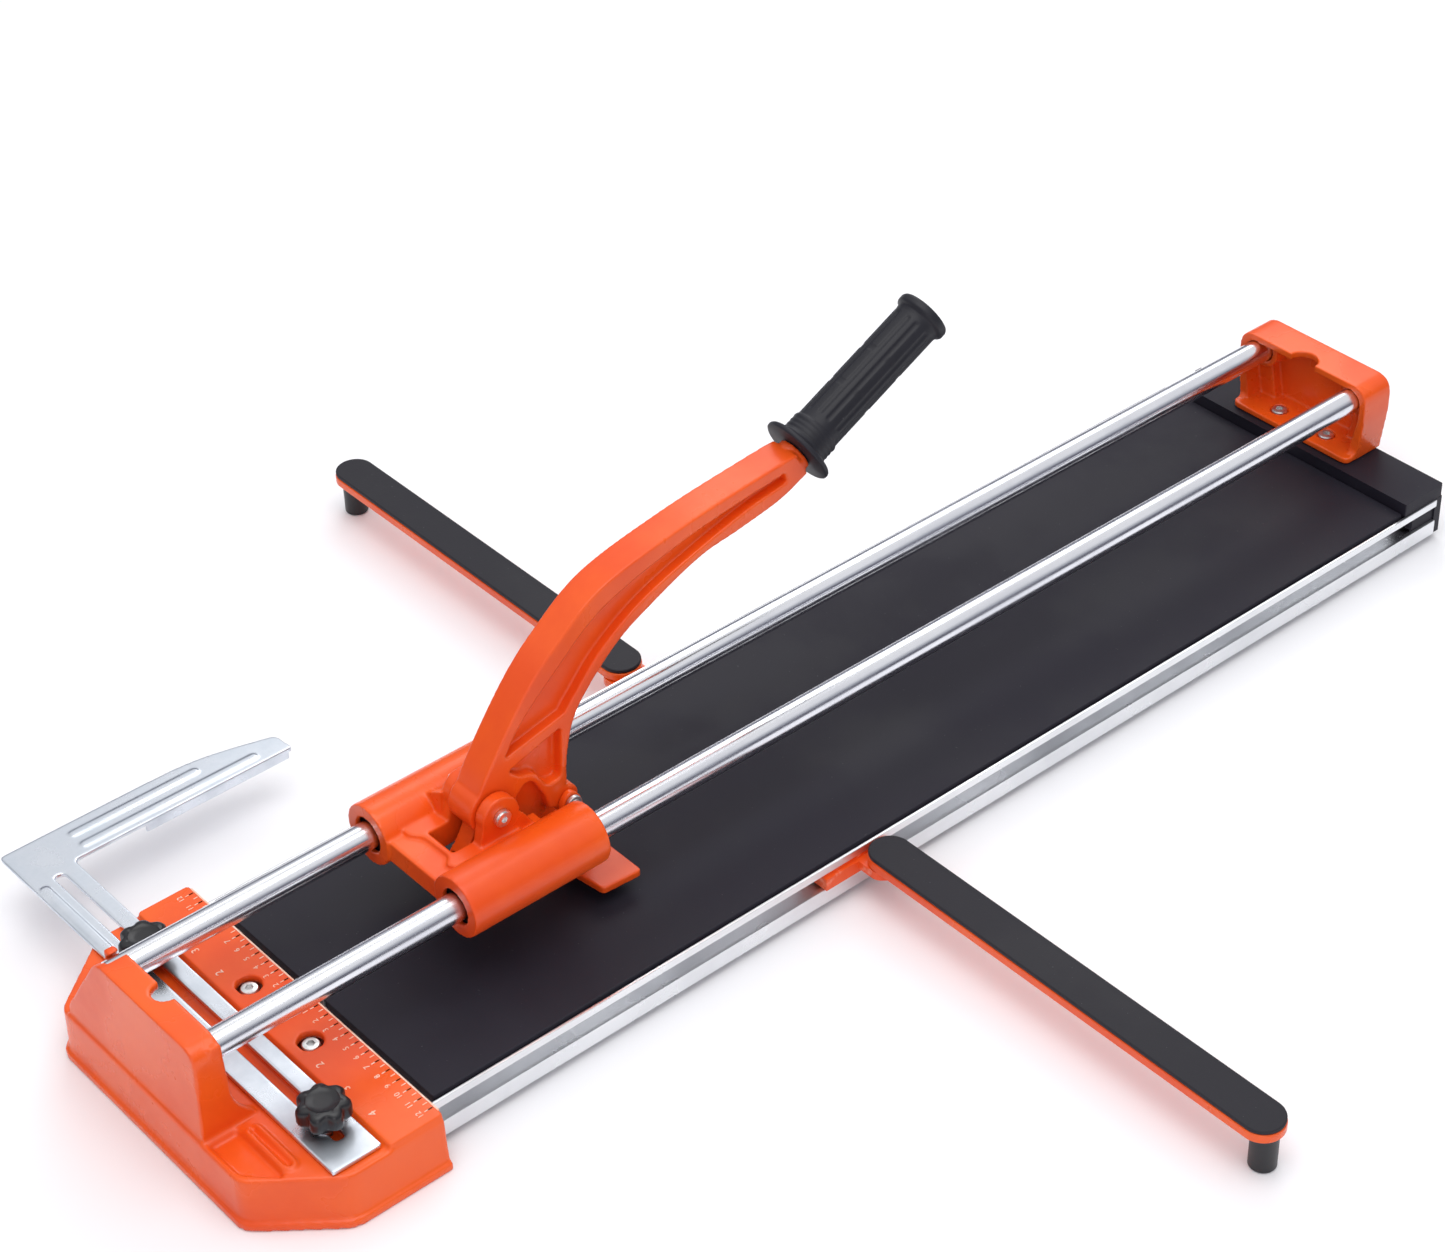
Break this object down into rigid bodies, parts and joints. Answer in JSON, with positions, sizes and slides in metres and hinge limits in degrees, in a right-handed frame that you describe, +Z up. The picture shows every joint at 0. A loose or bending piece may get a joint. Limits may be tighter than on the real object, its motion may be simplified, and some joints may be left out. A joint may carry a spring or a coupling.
{
  "type": "manual tile cutter",
  "caption": "Push-type manual tile cutter: carriage with scoring wheel and breaker lever on guide rails over a flat table, with a fence, sliding square and swing-out support arms.",
  "frame": {"origin": "on the floor under the middle of the machine", "axes": "+Z up, +Y along the rails towards the rear bracket, +X to the right of a user at the front base"},
  "size_m": [0.882, 0.988, 0.3095],
  "materials": {
    "orange_paint": "gloss enamel on cast aluminium",
    "rail_chrome": "hard chrome, ground and polished",
    "zinc_plate": "bright zinc plating",
    "bed_alloy": "satin mill finish",
    "table_black": "satin black coating",
    "moulded_black": "fine moulded grain",
    "grip_rubber": "moulded rubber",
    "strip_rubber": "matt rubber",
    "screw_steel": "zinc-plated screws and pins",
    "wheel_carbide": "ground carbide"
  },
  "bodies": {
    "frame": {"bed_pad_left": "strip_rubber", "bed_pad_right": "strip_rubber", "bed_profile": "bed_alloy", "bracket_screw_left": "screw_steel", "bracket_screw_right": "screw_steel", "breaker_bar": "screw_steel", "clamp_bolt_left": "screw_steel", "clamp_bolt_right": "screw_steel", "clamp_washer_left": "screw_steel", "clamp_washer_right": "screw_steel", "fence_bolt_left": "screw_steel", "fence_bolt_right": "screw_steel", "front_base": "orange_paint", "guide_rail_left": "rail_chrome", "guide_rail_right": "rail_chrome", "rail_set_screw_left": "screw_steel", "rail_set_screw_right": "screw_steel", "rear_bracket": "orange_paint", "rear_cap": "moulded_black", "table_plate_left": "table_black", "table_plate_right": "table_black"},
    "carriage": {"carriage": "orange_paint", "pivot_bolt": "screw_steel", "pivot_nut": "screw_steel", "rail_bush_front_left": "moulded_black", "rail_bush_front_right": "moulded_black", "rail_bush_rear_left": "moulded_black", "rail_bush_rear_right": "moulded_black"},
    "lever": {"lever": "orange_paint", "grip": "grip_rubber", "wheel_holder": "screw_steel", "wheel_set_screw": "screw_steel", "wheel_axle": "screw_steel", "breaker_pin": "screw_steel"},
    "scoring_wheel": {"scoring_wheel": "wheel_carbide"},
    "breaker_foot": {"breaker_foot": "orange_paint"},
    "square": {"sliding_square": "zinc_plate"},
    "knob_left": {"star_knob_left": "moulded_black"},
    "knob_right": {"star_knob_right": "moulded_black"},
    "shoe_left": {"arm_shoe_left": "orange_paint", "arm_pivot_bolt_left": "screw_steel"},
    "arm_left": {"support_arm_left": "orange_paint", "arm_strip_left": "strip_rubber", "arm_foot_left": "strip_rubber"},
    "shoe_right": {"arm_shoe_right": "orange_paint", "arm_pivot_bolt_right": "screw_steel"},
    "arm_right": {"support_arm_right": "orange_paint", "arm_strip_right": "strip_rubber", "arm_foot_right": "strip_rubber"}
  },
  "joints": [
    {"name": "carriage_slide", "type": "slide", "parent": "frame", "child": "carriage", "axis": [0, 1, 0], "range_m": [-0.155, 0.62]},
    {"name": "lever_tilt", "type": "hinge", "parent": "carriage", "child": "lever", "pos_m": [0, -0.25, 0.112], "axis": [1, 0, 0], "range_deg": [-8, 24]},
    {"name": "foot_pivot", "type": "hinge", "parent": "lever", "child": "breaker_foot", "pos_m": [0, -0.196, 0.09], "axis": [1, 0, 0], "range_deg": [-24.5, 8.5]},
    {"name": "wheel_spin", "type": "hinge", "parent": "lever", "child": "scoring_wheel", "pos_m": [0, -0.277, 0.06], "axis": [1, 0, 0], "continuous": true},
    {"name": "square_slide", "type": "slide", "parent": "frame", "child": "square", "axis": [1, 0, 0], "range_m": [-0.008, 0.06]},
    {"name": "knob_turn_left", "type": "hinge", "parent": "frame", "child": "knob_left", "pos_m": [-0.09, -0.432, 0.05], "axis": [0, 0, 1], "continuous": true},
    {"name": "arm_slide_left", "type": "slide", "parent": "frame", "child": "shoe_left", "axis": [0, 1, 0], "range_m": [-0.16, 0.2]},
    {"name": "arm_swing_left", "type": "hinge", "parent": "shoe_left", "child": "arm_left", "pos_m": [-0.129, -0.044, 0.03], "axis": [0, 0, -1], "range_deg": [0, 90]},
    {"name": "knob_turn_right", "type": "hinge", "parent": "frame", "child": "knob_right", "pos_m": [0.09, -0.432, 0.05], "axis": [0, 0, 1], "continuous": true},
    {"name": "arm_slide_right", "type": "slide", "parent": "frame", "child": "shoe_right", "axis": [0, 1, 0], "range_m": [-0.16, 0.2]},
    {"name": "arm_swing_right", "type": "hinge", "parent": "shoe_right", "child": "arm_right", "pos_m": [0.129, -0.044, 0.03], "axis": [0, 0, 1], "range_deg": [0, 90]}
  ],
  "couplings": [
    {"joint": "foot_pivot", "follows": "lever_tilt", "ratio": -1}
  ]
}
